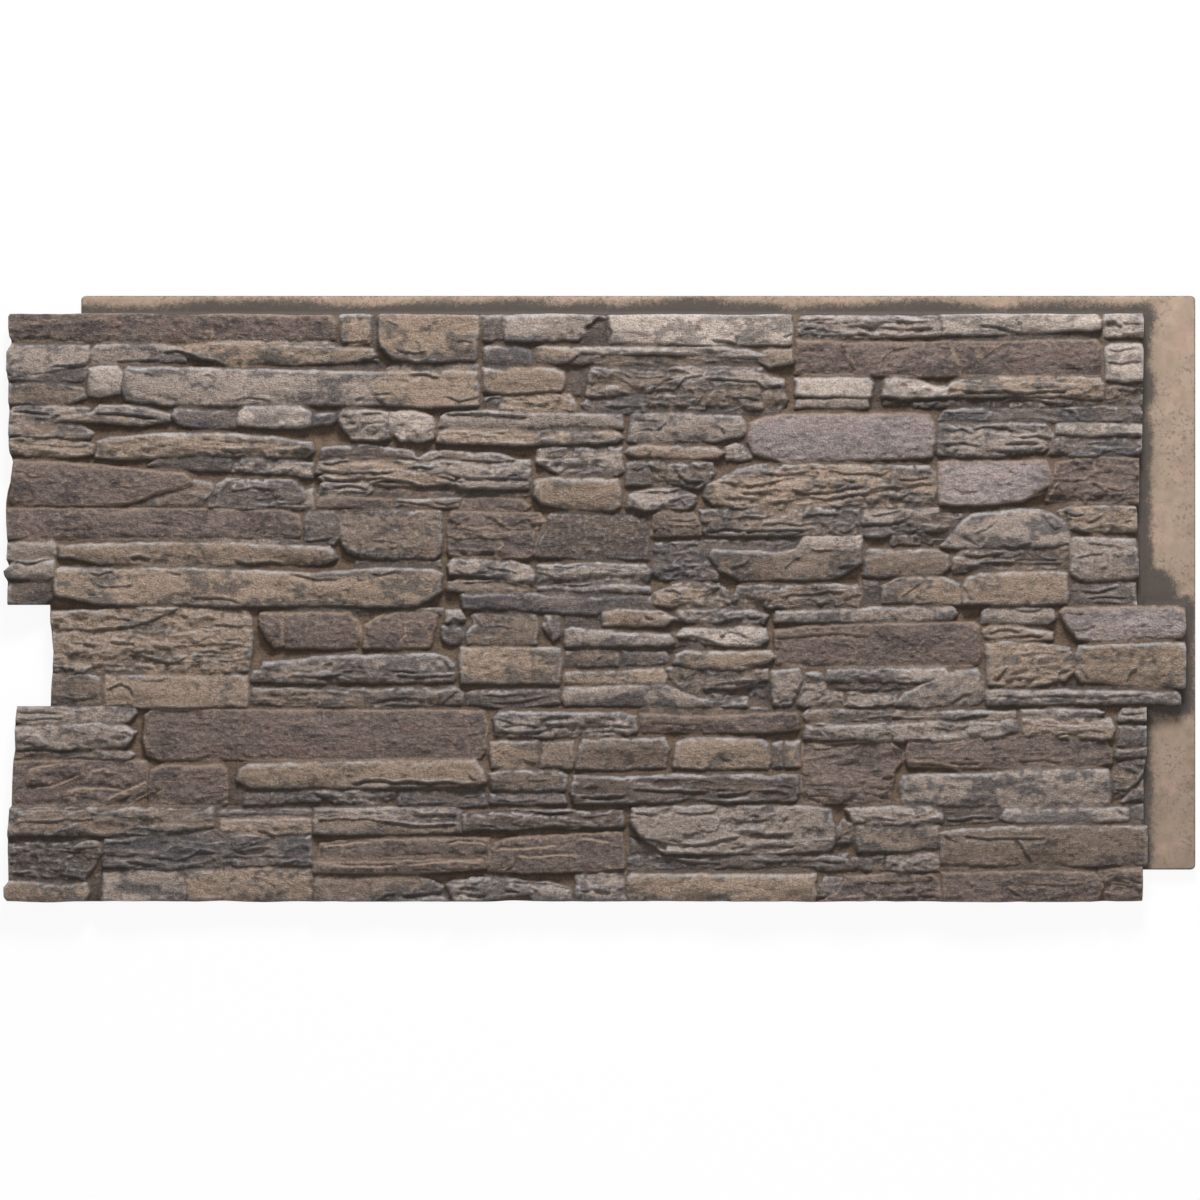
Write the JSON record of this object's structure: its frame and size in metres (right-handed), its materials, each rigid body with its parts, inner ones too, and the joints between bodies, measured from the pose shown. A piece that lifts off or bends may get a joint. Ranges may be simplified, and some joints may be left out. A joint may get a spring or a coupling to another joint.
{
  "type": "faux stone wall panel",
  "caption": "Moulded stacked-stone wall panel: ledge stones in relief on a flat back, laps under the side and foot edges, an open flange opposite, and a key and notch that interlock.",
  "frame": {"origin": "centre of the bounding box on the flat back, which lies on the floor", "axes": "+X along the length, towards the open side flange and the stone key; +Y up the wall, towards the head flange; +Z out of the stone face"},
  "size_m": [1.245, 0.634, 0.032],
  "materials": {
    "painted_polyurethane": "rigid foam skin, painted in stone tones and dark washes, matt"
  },
  "bodies": {
    "root": {"stone_panel": "painted_polyurethane"}
  },
  "joints": []
}
